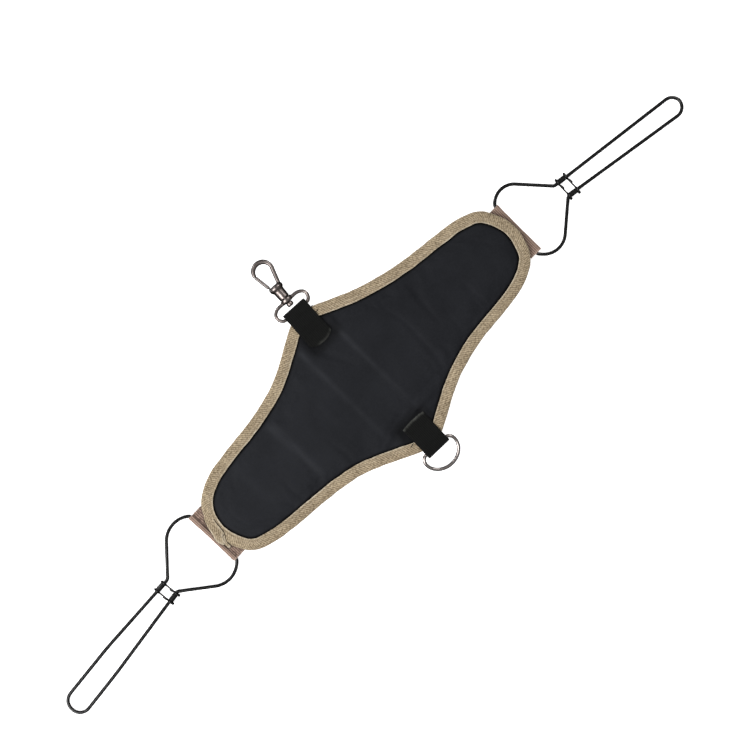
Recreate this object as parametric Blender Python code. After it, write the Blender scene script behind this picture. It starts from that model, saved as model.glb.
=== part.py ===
"""Padded game sling: a diamond-shaped shoulder pad with a bound edge, a swivel snap hook, a D-ring
and a stiff wire loop with a sliding keeper at each end.

Metres, +Z up. The origin is the centre of the pad on its underside; +X runs along the pad to the
right-hand wire loop and +Y runs across it to the snap hook.
"""

import math

import bmesh
import bpy
from mathutils import Matrix, Vector

MM = 0.001
GAP = 0.3 * MM

# Pad: outline of the bound edge, in mm, anticlockwise from the right-hand end.
PAD_OUTLINE = (
    (198.5, 0), (194, 19), (184, 34), (165, 42.3), (140, 46.6), (100, 52.3),
    (70, 59.8), (50, 66.8), (30, 75.8), (15, 83), (0, 87), (-15, 82.8),
    (-30, 75), (-50, 64.6), (-70, 56.8), (-100, 50.5), (-140, 46.6), (-165, 42.2),
    (-184, 32.5), (-194, 19), (-198.4, 0), (-194, -20), (-184, -35.5), (-165, -43.7),
    (-140, -47.9), (-100, -52), (-70, -57.4), (-50, -64.7), (-30, -74.6), (-15, -81.8),
    (0, -86.8), (15, -84), (30, -76.8), (50, -66.6), (70, -58.8), (100, -51.8),
    (140, -48.4), (165, -44.2), (184, -34.8), (194, -21),
)
OUTLINE_STEPS = 2
PAD_THICKNESS = 4.0 * MM
FABRIC_THICKNESS = 0.4 * MM
FABRIC_PRESSED = 0.3 * MM
BINDING_WIDTH = 10.8 * MM
BINDING_THICKNESS = 0.7 * MM
BINDING_TOP = PAD_THICKNESS + GAP + BINDING_THICKNESS
BINDING_BOTTOM = -GAP - BINDING_THICKNESS

# Spring-wire loops, each pivoting in a sleeve of wide webbing sewn under the end of the pad.
WIRE_R = 1.6 * MM
WIRE_SIDES = 12
WIRE_Z = -4.2 * MM
WEBBING = 1.0 * MM
SLEEVE_BORE_R = WIRE_R + 0.25 * MM
SLEEVE_FLAT = 6.5 * MM
SLEEVE_DIP = 4.5 * MM
WIRE_END_GAP = 2.5 * MM
# Bends of each wire as (x, y, bend radius) in mm, from the sleeve's +Y mouth to its -Y mouth.
LOOP_RIGHT = (
    (199.56, 25.4, 5), (214.3, 41.2, 18), (251.3, -1.2, 4), (389.1, -21.0, 10.2),
    (389.1, -40.2, 10), (253.8, -16.7, 5), (210.8, -52.2, 20), (195.4, -33.8, 4),
)
LOOP_LEFT = (
    (-203.3, 29.2, 4), (-221.1, 43.4, 23), (-260.1, 3.2, 5), (-345, -0.4, 300),
    (-407.9, -6.0, 10.5), (-407.9, -28.2, 10.3), (-355, -22.9, 400), (-261.8, -10.7, 5),
    (-217.8, -45.4, 23), (-201.9, -29.8, 4),
)
# Webbing sleeves: mouths at these y, and the x there of the fold, the wire and the sewn ends (mm).
SLEEVE_RIGHT = {"ends": (24.5, -32.5), "fold": (202.4, 201.4), "wire": (199.5, 195.5), "sewn": (188.8, 188.0)}
SLEEVE_LEFT = {"ends": (28.5, -29.0), "fold": (-206.2, -205.1), "wire": (-203.3, -201.9), "sewn": (-188.8, -188.0)}

# Keepers: a frame of two cross bars with an eyelet round each leg, and a spacer on each leg.
KEEPER_BORE_R = 2.15 * MM
SPACER_R = 2.5 * MM
KEEPER_WIRE_R = 0.7 * MM
KEEPER_BAR_SPACING = 9.5 * MM
KEEPER_PLAY = 0.42 * MM
KEEPER_RIGHT = {"centre": (259.8, -10.05), "heading": -9.0, "spread": 0.83, "gap": 15.1, "skew": 1.3}
KEEPER_LEFT = {"centre": (-269.0, -4.45), "heading": 184.95, "spread": 2.4, "gap": 14.35, "skew": 0.0}

# Tabs of 25 mm webbing that straddle the pad's edge and hold the rings.
TAB_WEBBING = 1.1 * MM
TAB_HALF_WIDTH = 12.7 * MM
TAB_SLACK = 1.5 * MM
TAB_BACK_END = 12.2 * MM
HOOK_TAB_END = 38 * MM
DRING_TAB_END = 32.5 * MM
DRING_TAB_SHIFT = -0.9 * MM
RING_R = 1.65 * MM
RING_SIDES = 12
RING_Z = 1.0 * MM
HOOK_PLACE = (2.0 * MM, 90.2 * MM, RING_Z)
HOOK_TURN = math.radians(-4.3)
DRING_PLACE = (1.4 * MM, -89.3 * MM, RING_Z)
DRING_TURN = math.radians(177.6)
DRING_DROOP = math.radians(-12)

# Swivel snap hook, along its own axis from the bar of the eye ring (mm).
EYE_DEPTH = 12.9
BOSS_PROFILE = ((5.0, 11.0), (6.0, 12.4), (6.0, 14.6), (5.3, 15.6))
BARREL_PROFILE = (
    (4.9, 15.9), (5.1, 17.0), (5.4, 25.0), (6.2, 26.0), (7.2, 27.2), (7.2, 28.8), (6.4, 30.2), (4.6, 31.2),
)
RIVET_PROFILE = ((2.3, 6.7), (3.25, 7.7), (3.25, 9.4), (2.9, 10.7), (1.6, 10.7), (1.6, 20.0))
RIVET_HOLE_R = 1.9
RIVET_HOLE_END = 20.4
ARC_CENTRE = (1.1, 47.4)
ARC_R = 9.2
STEM_FOOT = (4.4, 28.5)
HOOK_BAR_R = (1.9, 2.0, 2.1, 2.3, 2.35, 2.3, 2.1, 1.8)
GATE_PIVOT = (-4.6, 29.5)
GATE_TIP = (-7.75, 47.4)
GATE_R = 1.45
GATE_BASE_R = 2.2
PIN_R = 0.8
PIN_HALF = 4.2
PIN_CLEARANCE = 0.3
SLOT_HALF = 2.0
COIL_R = 1.42
COIL_WIRE_R = 0.17
COIL_TURNS = 2


def clear_scene():
    for obj in list(bpy.data.objects):
        bpy.data.objects.remove(obj)


def material(name, colour, roughness, metallic=0.0):
    made = bpy.data.materials.new(name)
    made.use_nodes = True
    shader = made.node_tree.nodes["Principled BSDF"]
    shader.inputs["Base Color"].default_value = (*colour, 1)
    shader.inputs["Roughness"].default_value = roughness
    shader.inputs["Metallic"].default_value = metallic
    return made


def add_object(name, points, faces, finish, parent=None, smooth_angle=40):
    """A closed mesh object with outward faces, shaded smooth below the given angle."""
    mesh = bpy.data.meshes.new(name)
    mesh.from_pydata([tuple(point) for point in points], [], faces)
    shape = bmesh.new()
    shape.from_mesh(mesh)
    bmesh.ops.recalc_face_normals(shape, faces=shape.faces)
    shape.to_mesh(mesh)
    shape.free()
    mesh.shade_smooth()
    mesh.set_sharp_from_angle(angle=math.radians(smooth_angle))
    mesh.materials.append(finish)
    obj = bpy.data.objects.new(name, mesh)
    bpy.context.scene.collection.objects.link(obj)
    obj.parent = parent
    return obj


def add_empty(name, place, turn=0.0, parent=None, tilt=0.0):
    empty = bpy.data.objects.new(name, None)
    empty.location = place
    empty.rotation_euler = (tilt, 0, turn)
    bpy.context.scene.collection.objects.link(empty)
    empty.parent = parent
    return empty


def combine(target, tool, operation):
    """Adds a Boolean modifier; the tool stays as a hidden wireframe helper."""
    tool.hide_render = True
    tool.display_type = "WIRE"
    modifier = target.modifiers.new(tool.name, "BOOLEAN")
    modifier.operation = operation
    modifier.object = tool
    return target


def closed_spline(points, steps):
    """Catmull-Rom curve through the points, with this many steps in each span."""
    count = len(points)
    curve = []
    for index in range(count):
        before, start, end, after = (Vector(points[(index + k) % count]) for k in (-1, 0, 1, 2))
        for step in range(steps):
            t = step / steps
            curve.append(0.5 * (
                2 * start
                + (end - before) * t
                + (2 * before - 5 * start + 4 * end - after) * t * t
                + (3 * start - before - 3 * end + after) * t ** 3
            ))
    return curve


def inset(outline, distance):
    """Moves each point of an anticlockwise outline inwards along its normal."""
    count = len(outline)
    moved = []
    for index in range(count):
        along = (outline[(index + 1) % count] - outline[index - 1]).normalized()
        moved.append(outline[index] + distance * Vector((-along.y, along.x)))
    return moved


def loft(rings, closed_ring=True, closed_path=False):
    """Points and faces of a skin through equal rings, with end caps unless the path closes."""
    size = len(rings[0])
    points = [point for ring in rings for point in ring]
    faces = []
    spans = len(rings) if closed_path else len(rings) - 1
    for row in range(spans):
        low, high = row * size, (row + 1) % len(rings) * size
        for k in range(size):
            nxt = (k + 1) % size
            faces.append((low + k, low + nxt, high + nxt, high + k))
    if not closed_path:
        faces.append(tuple(range(size)))
        faces.append(tuple(range(len(points) - size, len(points))))
    return points, faces


def plate(name, levels, finish):
    """A flat layer from (outline, z) levels in order."""
    rings = [[(p.x, p.y, z) for p in outline] for outline, z in levels]
    return add_object(name, *loft(rings), finish)


def bound_edge(name, outline, finish):
    """U-shaped binding: one lip over the face, one under the back, closed round the edge."""
    web = BINDING_THICKNESS
    soft = 0.8 * MM
    section = (
        (BINDING_WIDTH, BINDING_TOP), (soft, BINDING_TOP), (0, BINDING_TOP - soft),
        (0, BINDING_BOTTOM + soft), (soft, BINDING_BOTTOM), (BINDING_WIDTH, BINDING_BOTTOM),
        (BINDING_WIDTH, BINDING_BOTTOM + web), (web, BINDING_BOTTOM + web),
        (web, BINDING_TOP - web), (BINDING_WIDTH, BINDING_TOP - web),
    )
    loops = [(inset(outline, depth), z) for depth, z in section]
    rings = [[(loop[k].x, loop[k].y, z) for loop, z in loops] for k in range(len(outline))]
    return add_object(name, *loft(rings, closed_path=True), finish)


def ribbon_section(path, thickness):
    """Outline of a strip of even thickness along an open path of 2D points."""
    left, right = [], []
    for index, point in enumerate(path):
        along = (path[min(index + 1, len(path) - 1)] - path[max(index - 1, 0)]).normalized()
        side = Vector((-along.y, along.x)) * thickness / 2
        left.append(point + side)
        right.append(point - side)
    return left + right[::-1]


def half_circle(centre, radius, start_deg, end_deg, steps):
    return [
        centre + radius * Vector((math.cos(a), math.sin(a)))
        for a in (math.radians(start_deg + (end_deg - start_deg) * k / steps) for k in range(steps + 1))
    ]


def sleeve_path(tail, wire, fold, side):
    """Centre line of the sleeve's webbing in X-Z: lower ply, round the wire, upper ply."""
    radius = SLEEVE_BORE_R + WEBBING / 2
    upper = WIRE_Z + radius
    lower_tail = upper - WEBBING - 0.2 * MM
    centre = Vector((fold - side * (radius + WEBBING / 2), WIRE_Z))
    start, end = (-90, 90) if side > 0 else (270, 90)
    under = side * min(side * wire, side * centre.x - 0.6 * MM)
    dip = [
        Vector((tail, lower_tail)),
        Vector((wire - side * SLEEVE_FLAT, lower_tail)),
        Vector((wire - side * SLEEVE_DIP, lower_tail - 1.6 * MM)),
        Vector((under, WIRE_Z - radius)),
    ]
    fold_arc = half_circle(centre, radius, start, end, 8)
    return dip + fold_arc + [Vector((wire - side * SLEEVE_FLAT, upper)), Vector((tail, upper))]


def webbing_sleeve(name, shape, side, finish):
    rings = []
    for end, fold, wire, sewn in zip(*shape.values()):
        section = ribbon_section(sleeve_path(sewn * MM, wire * MM, fold * MM, side), WEBBING)
        rings.append([(p.x, end * MM, p.y) for p in section])
    return add_object(name, *loft(rings), finish, smooth_angle=50)


def tab_path(inner_end):
    """Centre line of a tab in (outward, Z) from the ring's bar: top ply, fold, short bottom ply."""
    half = TAB_WEBBING / 2
    over = BINDING_TOP + GAP + half
    on_face = PAD_THICKNESS + GAP + half
    under = BINDING_BOTTOM - GAP - half
    radius = RING_R + 0.35 * MM + half
    centre = Vector((TAB_SLACK, RING_Z))
    top = [
        Vector((-inner_end, on_face)), Vector((-23 * MM, on_face)),
        Vector((-20 * MM, over)), Vector((-3.4 * MM, over)),
    ]
    bottom = [Vector((-3.4 * MM, under)), Vector((-TAB_BACK_END, under))]
    return top + half_circle(centre, radius, 80, -80, 8) + bottom


def webbing_tab(name, parent, inner_end, shift, finish):
    section = ribbon_section(tab_path(inner_end), TAB_WEBBING)
    rings = [[(u, p.x, p.y - RING_Z) for p in section] for u in (shift - TAB_HALF_WIDTH, shift + TAB_HALF_WIDTH)]
    return add_object(name, *loft(rings), finish, parent, smooth_angle=50)


def rounded_route(corners, start, end, step_deg=11):
    """Points of a wire bent at each corner (x, y, radius), from start to end."""
    route = [start]
    places = [start, *(Vector(c[:2]) * MM for c in corners), end]
    for index, corner in enumerate(corners, start=1):
        before, here, after = places[index - 1:index + 2]
        arrive, leave = (here - before).normalized(), (after - here).normalized()
        turn = arrive.angle_signed(leave)
        radius = corner[2] * MM
        inner = here - arrive * radius * math.tan(abs(turn) / 2)
        steps = max(2, math.ceil(abs(math.degrees(turn)) / step_deg))
        side = Vector((arrive.y, -arrive.x)) * math.copysign(1, turn)
        centre = inner + side * radius
        for k in range(steps + 1):
            spoke = -side * radius
            spoke.rotate(Matrix.Rotation(-turn * k / steps, 2))
            route.append(centre + spoke)
    return route + [end]


def sweep(route, radii, sides, closed=False):
    """Rings of a round bar along a route that stays in one plane of constant Z."""
    count = len(route)
    rings = []
    for index, point in enumerate(route):
        last = (index - 1) % count if closed else max(index - 1, 0)
        nxt = (index + 1) % count if closed else min(index + 1, count - 1)
        along = (route[nxt] - route[last]).normalized()
        across = Vector((along.y, -along.x, 0))
        rings.append([
            point + radii[index] * (math.cos(a) * across + math.sin(a) * Vector((0, 0, 1)))
            for a in (2 * math.pi * (k + 0.5) / sides for k in range(sides))
        ])
    return loft(rings, closed_path=closed)


def wire_loop(name, bends, sleeve, finish):
    top, bottom = (Vector((x, y)) * MM for x, y in zip(sleeve["wire"], sleeve["ends"]))
    middle = (top + bottom) / 2
    along = (top - bottom).normalized()
    pivot = add_empty(name + "_pivot", (middle.x, middle.y, WIRE_Z))
    route = rounded_route(bends, middle + along * WIRE_END_GAP / 2, middle - along * WIRE_END_GAP / 2)
    flat = [(p - middle).to_3d() for p in route]
    return add_object(name, *sweep(flat, [WIRE_R] * len(flat), WIRE_SIDES), finish, pivot), pivot


def torus(name, major, minor, sides, finish, parent):
    """A ring whose hole faces along X."""
    route = [Vector((major * math.cos(a), major * math.sin(a), 0)) for a in angles(sides)]
    points, faces = sweep(route, [minor] * sides, 8, closed=True)
    return add_object(name, [(p.z, p.x, p.y) for p in points], faces, finish, parent)


def angles(count, offset=0.0):
    return [2 * math.pi * (k + offset) / count for k in range(count)]


def rod(name, start, end, radius, sides, finish, parent):
    axis = (end - start).normalized()
    side = axis.orthogonal().normalized()
    other = axis.cross(side)
    rings = [
        [end_point + radius * (math.cos(a) * side + math.sin(a) * other) for a in angles(sides)]
        for end_point in (start, end)
    ]
    return add_object(name, *loft(rings), finish, parent)


def spacer(name, place, turn, finish, parent):
    """A short tube on one leg of the wire loop."""
    half = KEEPER_BAR_SPACING / 2 - KEEPER_WIRE_R - GAP
    outline = ((half, KEEPER_BORE_R), (half, SPACER_R), (-half, SPACER_R), (-half, KEEPER_BORE_R))
    rings = [[(x, r * math.cos(a), r * math.sin(a)) for x, r in outline] for a in angles(16)]
    obj = add_object(name, *loft(rings, closed_path=True), finish, parent)
    obj.location = place
    obj.rotation_euler = (0, 0, turn)
    return obj


def keeper(side_name, shape, pivot, finish):
    """Both spacers and both cross bars of a keeper, under an empty that heads along its slide."""
    heading = math.radians(shape["heading"])
    spread = math.radians(shape["spread"])
    centre = Vector((*shape["centre"], 0)) * MM
    frame = add_empty(f"keeper_{side_name}_slide", centre - pivot.location + Vector((0, 0, WIRE_Z)), heading, pivot)
    half_gap = shape["gap"] / 2 * MM + KEEPER_PLAY
    skew = shape["skew"] / 2 * MM
    for which, sign in (("left_leg", 1), ("right_leg", -1)):
        place = Vector((-sign * skew, sign * half_gap, 0))
        spacer(f"keeper_{side_name}_spacer_{which}", place, sign * spread, finish, frame)
    for which, sign in (("inner", -1), ("outer", 1)):
        x = sign * KEEPER_BAR_SPACING / 2
        leg_y = half_gap + x * math.tan(spread)
        eyelet_r = KEEPER_BORE_R + KEEPER_WIRE_R
        name = f"keeper_{side_name}_bar_{which}"
        bar = torus(name, eyelet_r, KEEPER_WIRE_R, 16, finish, frame)
        bar.location = (x - skew, leg_y, 0)
        bar.rotation_euler = (0, 0, spread)
        far = torus(name + "_eyelet", eyelet_r, KEEPER_WIRE_R, 16, finish, frame)
        far.location = (x + skew, -leg_y, 0)
        far.rotation_euler = (0, 0, -spread)
        reach = leg_y - eyelet_r
        top = Vector((x - skew, reach, 0))
        foot = Vector((x + skew, -reach, 0))
        beside = Vector((1.0 * MM, 0, 0.12 * MM))
        link = rod(name + "_link", top, foot, KEEPER_WIRE_R, 8, finish, frame)
        tail = rod(name + "_tail", top.lerp(foot, 0.04) + beside, top.lerp(foot, 0.5) + beside,
                   KEEPER_WIRE_R, 8, finish, frame)
        combine(bar, far, "UNION")
        combine(bar, link, "UNION")
        combine(bar, tail, "UNION")
    return frame


def quarter(centre, reach_x, reach_y, start_deg, steps, sweep_deg=90):
    """Part of an ellipse, end point left out."""
    return [
        Vector((centre[0] + reach_x * math.cos(a), centre[1] + reach_y * math.sin(a), 0)) * MM
        for a in (math.radians(start_deg + sweep_deg * k / steps) for k in range(steps))
    ]


def turned(name, profile, sides, finish, parent):
    """A turned piece about its own Y axis, from (radius, y) pairs in mm along the outside."""
    rings = [
        [Vector((r * math.cos(a), y, r * math.sin(a))) * MM for a in angles(sides, 0.5)]
        for r, y in profile
    ]
    return add_object(name, *loft(rings), finish, parent)


def box(name, low, high, finish, parent):
    rings = [
        [(low[0], low[1], z), (high[0], low[1], z), (high[0], high[1], z), (low[0], high[1], z)]
        for z in (low[2], high[2])
    ]
    points, faces = loft([[Vector(p) * MM for p in ring] for ring in rings])
    return add_object(name, points, faces, finish, parent)


def eye_ring(parent, finish):
    """Flat oval ring with a boss for the swivel rivet in the middle of its outer bar."""
    waist = 6.4
    route = (
        quarter((9, waist), 9, EYE_DEPTH - waist, 90, 6, -90)
        + quarter((13, waist), 5, waist, 0, 6, -90)
        + quarter((-13, waist), 5, waist, -90, 6, -90)
        + quarter((-9, waist), 9, EYE_DEPTH - waist, 180, 6, -90)
    )
    route.insert(12, Vector((13, 0, 0)) * MM)
    route.append(Vector((-9, EYE_DEPTH, 0)) * MM)
    ring = add_object("eye_ring", *sweep(route, [RING_R] * len(route), RING_SIDES, True), finish, parent)
    boss = turned("eye_boss", BOSS_PROFILE, 20, finish, parent)
    hole = turned("eye_hole", ((RIVET_HOLE_R, 9), (RIVET_HOLE_R, 18)), 16, finish, parent)
    combine(ring, boss, "UNION")
    combine(ring, hole, "DIFFERENCE")
    return ring


def hook_body(parent, finish):
    """Barrel, collar and open teardrop of the snap hook, slotted for the gate."""
    body = turned("hook_body", BARREL_PROFILE, 20, finish, parent)
    arc = half_circle(Vector(ARC_CENTRE), ARC_R, -8, 172, 14)
    foot = Vector(STEM_FOOT)
    stem = [foot.lerp(arc[0], t) for t in (0, 0.35, 0.7)]
    route = [(p * MM).to_3d() for p in (*stem, *arc)]
    last = len(HOOK_BAR_R) - 1
    radii = []
    for k in range(len(route)):
        place = k / (len(route) - 1) * last
        low = min(int(place), last - 1)
        radii.append((HOOK_BAR_R[low] + (HOOK_BAR_R[low + 1] - HOOK_BAR_R[low]) * (place - low)) * MM)
    bar = add_object("hook_bar", *sweep(route, radii, 12), finish, parent)
    slot = box("gate_slot", (-9, 26.9, -SLOT_HALF), (-1.9, 33, SLOT_HALF), finish, parent)
    rivet_hole = turned("rivet_hole", ((RIVET_HOLE_R, 14), (RIVET_HOLE_R, RIVET_HOLE_END)), 16, finish, parent)
    pin_place = Vector((*GATE_PIVOT, 0)) * MM
    drill = Vector((0, 0, 9 * MM))
    pin_hole = rod("pin_hole", pin_place - drill, pin_place + drill, (PIN_R + PIN_CLEARANCE) * MM, 14, finish, parent)
    combine(body, bar, "UNION")
    combine(body, slot, "DIFFERENCE")
    combine(body, rivet_hole, "DIFFERENCE")
    combine(body, pin_hole, "DIFFERENCE")
    return body


def gate(parent, finish):
    """Straight bar with a flat base bored for the pin; its origin is on the pin's axis."""
    reach = Vector((GATE_TIP[0] - GATE_PIVOT[0], GATE_TIP[1] - GATE_PIVOT[1], 0))
    along = reach.normalized()
    z = Vector((0, 0, -0.6))
    arm = rod("gate", (along * 2.7) * MM, reach * MM, GATE_R * MM, 12, finish, parent)
    base = rod("gate_base", Vector((0, 0, -1.5)) * MM, Vector((0, 0, 0.3)) * MM, GATE_BASE_R * MM, 20, finish, parent)
    neck = rod("gate_neck", (along * 1.2 + z) * MM, (along * 3.2 + z) * MM, 0.85 * MM, 12, finish, parent)
    bore_end = Vector((0, 0, 3 * MM))
    bore = rod("gate_bore", -bore_end, bore_end, (PIN_R + PIN_CLEARANCE) * MM, 14, finish, parent)
    combine(arm, base, "UNION")
    combine(arm, neck, "UNION")
    combine(arm, bore, "DIFFERENCE")
    return arm


def gate_spring(parent, finish):
    """Small torsion coil on the gate pin, beside the gate's base."""
    steps = 12 * COIL_TURNS
    pitch = (2 * COIL_WIRE_R + 0.02) * MM
    rings = []
    for k in range(steps + 1):
        a = 2 * math.pi * k / 12
        radial = Vector((math.cos(a), math.sin(a), 0))
        centre = radial * COIL_R * MM + Vector((0, 0, 0.62 * MM + COIL_WIRE_R * MM + pitch * k / 12))
        rings.append([
            centre + COIL_WIRE_R * MM * (math.cos(b) * radial + math.sin(b) * Vector((0, 0, 1)))
            for b in angles(6)
        ])
    return add_object("gate_spring", *loft(rings), finish, parent)


def d_ring(parent, finish):
    """D-shaped ring: straight bar in the tab, rounded corners and a half-ellipse bow."""
    half, corner, depth = 12, 7, 22.7
    route = (
        quarter((half, corner), 18 - half, corner, -90, 6)
        + quarter((0, corner), 18, depth - corner, 0, 20, 180)
        + quarter((-half, corner), 18 - half, corner, 180, 6)
        + [Vector((-half, 0, 0)) * MM]
    )
    return add_object("d_ring", *sweep(route, [RING_R] * len(route), RING_SIDES, True), finish, parent)


def snap_hook(tab_frame, steel, polished):
    """Eye ring, rivet, hook, gate, pin and spring, each under the empty of its own joint."""
    eye = add_empty("eye_pivot", (0, 0, 0), parent=tab_frame)
    swivel = add_empty("hook_swivel", (0, 0, 0), parent=eye)
    hinge = add_empty("gate_pivot", Vector((*GATE_PIVOT, 0)) * MM, parent=swivel)
    eye_ring(eye, steel)
    turned("swivel_rivet", RIVET_PROFILE, 16, steel, swivel)
    hook_body(swivel, steel)
    gate(hinge, polished)
    pin_end = Vector((0, 0, PIN_HALF * MM))
    rod("gate_pin", -pin_end, pin_end, PIN_R * MM, 12, steel, hinge)
    gate_spring(hinge, polished)


def main():
    clear_scene()
    black_fabric = material("black_fabric", (0.012, 0.013, 0.016), 0.75)
    lining = material("lining", (0.018, 0.018, 0.02), 0.85)
    foam = material("foam", (0.08, 0.08, 0.085), 0.95)
    tan_tape = material("tan_tape", (0.30, 0.24, 0.15), 0.85)
    brown_webbing = material("brown_webbing", (0.20, 0.135, 0.105), 0.85)
    black_webbing = material("black_webbing", (0.006, 0.006, 0.007), 0.8)
    coated_wire = material("coated_wire", (0.008, 0.008, 0.009), 0.4)
    gunmetal = material("gunmetal", (0.13, 0.12, 0.12), 0.28, 1.0)
    polished = material("polished_steel", (0.42, 0.40, 0.40), 0.2, 1.0)

    outline = closed_spline([Vector(p) * MM for p in PAD_OUTLINE], OUTLINE_STEPS)
    inside = inset(outline, BINDING_THICKNESS + GAP)
    open_back = inset(outline, BINDING_WIDTH + GAP)
    pressed = FABRIC_THICKNESS - FABRIC_PRESSED
    plate("pad_back", ((inside, FABRIC_THICKNESS), (inside, pressed), (open_back, pressed), (open_back, 0)), lining)
    plate("pad_foam", ((inside, FABRIC_THICKNESS + GAP), (inside, PAD_THICKNESS - FABRIC_THICKNESS - GAP)), foam)
    plate("pad_face", ((inside, PAD_THICKNESS - FABRIC_THICKNESS), (inside, PAD_THICKNESS)), black_fabric)
    bound_edge("edge_binding", outline, tan_tape)

    for name, bends, sleeve, holder, side in (
        ("right", LOOP_RIGHT, SLEEVE_RIGHT, KEEPER_RIGHT, 1),
        ("left", LOOP_LEFT, SLEEVE_LEFT, KEEPER_LEFT, -1),
    ):
        webbing_sleeve("sleeve_" + name, sleeve, side, brown_webbing)
        loop, pivot = wire_loop("loop_wire_" + name, bends, sleeve, coated_wire)
        keeper(name, holder, pivot, coated_wire)

    tab_frame = add_empty("hook_tab_frame", HOOK_PLACE, HOOK_TURN)
    webbing_tab("hook_tab", tab_frame, HOOK_TAB_END, 0.0, black_webbing)
    snap_hook(tab_frame, gunmetal, polished)
    dring_frame = add_empty("dring_tab_frame", DRING_PLACE, DRING_TURN)
    webbing_tab("dring_tab", dring_frame, DRING_TAB_END, DRING_TAB_SHIFT, black_webbing)
    dring_pivot = add_empty("dring_pivot", (0, 0, 0), parent=dring_frame, tilt=DRING_DROOP)
    d_ring(dring_pivot, gunmetal)


main()
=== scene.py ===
"""Looks of the padded game sling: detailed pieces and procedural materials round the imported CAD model."""

import math

import bmesh
import bpy
import numpy as np
from mathutils import Matrix, Vector, geometry, noise


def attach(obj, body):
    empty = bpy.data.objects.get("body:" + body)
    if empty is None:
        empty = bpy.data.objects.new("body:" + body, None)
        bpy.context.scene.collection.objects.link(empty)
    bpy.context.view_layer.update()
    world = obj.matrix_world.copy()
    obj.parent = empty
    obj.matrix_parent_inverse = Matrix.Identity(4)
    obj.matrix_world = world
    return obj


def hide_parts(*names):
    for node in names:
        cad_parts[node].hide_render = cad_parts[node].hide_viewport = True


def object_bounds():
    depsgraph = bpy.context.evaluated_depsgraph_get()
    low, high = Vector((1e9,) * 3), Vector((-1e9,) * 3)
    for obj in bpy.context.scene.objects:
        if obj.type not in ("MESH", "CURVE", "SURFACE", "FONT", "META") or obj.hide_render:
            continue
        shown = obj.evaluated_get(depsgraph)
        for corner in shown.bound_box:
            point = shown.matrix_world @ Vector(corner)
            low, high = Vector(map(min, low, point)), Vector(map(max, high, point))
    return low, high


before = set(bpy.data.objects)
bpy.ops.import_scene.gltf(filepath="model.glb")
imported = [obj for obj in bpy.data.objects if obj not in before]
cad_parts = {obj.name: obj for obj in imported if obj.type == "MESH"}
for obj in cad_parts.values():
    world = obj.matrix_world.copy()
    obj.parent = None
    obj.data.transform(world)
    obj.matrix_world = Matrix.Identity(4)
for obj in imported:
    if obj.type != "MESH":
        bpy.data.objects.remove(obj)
CAD_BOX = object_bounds()

MM = 0.001
UP = Vector((0, 0, 1))


def place_at(x, y, z, turn_deg):
    """The matrix that turns about Z and then moves to this spot, in mm."""
    return Matrix.Translation((x, y, z)) @ Matrix.Rotation(math.radians(turn_deg), 4, "Z")


# Shapes that part.py also states, in mm.
PAD_OUTLINE = (
    (198.5, 0), (194, 19), (184, 34), (165, 42.3), (140, 46.6), (100, 52.3),
    (70, 59.8), (50, 66.8), (30, 75.8), (15, 83), (0, 87), (-15, 82.8),
    (-30, 75), (-50, 64.6), (-70, 56.8), (-100, 50.5), (-140, 46.6), (-165, 42.2),
    (-184, 32.5), (-194, 19), (-198.4, 0), (-194, -20), (-184, -35.5), (-165, -43.7),
    (-140, -47.9), (-100, -52), (-70, -57.4), (-50, -64.7), (-30, -74.6), (-15, -81.8),
    (0, -86.8), (15, -84), (30, -76.8), (50, -66.6), (70, -58.8), (100, -51.8),
    (140, -48.4), (165, -44.2), (184, -34.8), (194, -21),
)
LOOP_RIGHT = (
    (199.56, 25.4, 5), (214.3, 41.2, 18), (251.3, -1.2, 4), (389.1, -21.0, 10.2),
    (389.1, -40.2, 10), (253.8, -16.7, 5), (210.8, -52.2, 20), (195.4, -33.8, 4),
)
LOOP_LEFT = (
    (-203.3, 29.2, 4), (-221.1, 43.4, 23), (-260.1, 3.2, 5), (-345, -0.4, 300),
    (-407.9, -6.0, 10.5), (-407.9, -28.2, 10.3), (-355, -22.9, 400), (-261.8, -10.7, 5),
    (-217.8, -45.4, 23), (-201.9, -29.8, 4),
)
SLEEVE_RIGHT = {"ends": (24.5, -32.5), "fold": (202.4, 201.4), "wire": (199.5, 195.5), "sewn": (188.8, 188.0)}
SLEEVE_LEFT = {
    "ends": (28.5, -29.0), "fold": (-206.2, -205.1), "wire": (-203.3, -201.9), "sewn": (-188.8, -188.0),
}
SEAM_LEFT_X = -200.3
WIRE_R = 1.6
WIRE_Z = -4.2
WIRE_END_GAP = 2.5
SLEEVE_FOLD_R = WIRE_R + 0.75
KEEPER_BORE_R = 2.15
SPACER_R = 2.5
KEEPER_WIRE_R = 0.7
KEEPER_DRAWN_R = 0.84
KEEPER_BAR_SPACING = 9.5
KEEPER_PLAY = 0.42
# Angles in degrees; knots say how far the twist stands out at each end of a bar.
KEEPER_RIGHT = {
    "centre": (259.8, -10.05), "heading": -9.0, "spread": 0.83, "gap": 15.1, "skew": 1.3,
    "knots": (0.12, 0.2),
}
KEEPER_LEFT = {
    "centre": (-269.0, -4.45), "heading": 184.95, "spread": 2.4, "gap": 14.35, "skew": 0.0,
    "knots": (0.16, 0.0),
}
RING_R = 1.65
TAB_FRAME_Z = 1.0
HOOK_PLACE = place_at(2.0, 90.2, TAB_FRAME_Z, -4.3)
DRING_PLACE = place_at(1.4, -89.3, TAB_FRAME_Z, 177.6)
DRING_DROOP = Matrix.Rotation(math.radians(-12), 4, "X")
BINDING_WIDTH = 10.8
TAB_WEBBING = 1.1
TAB_HALF_WIDTH = 12.7
TAB_ON_FACE_Z, TAB_OVER_EDGE_Z, TAB_BEHIND_Z = 4.3, 5.3, -1.3


# ---------------------------------------------------------------- materials

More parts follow.
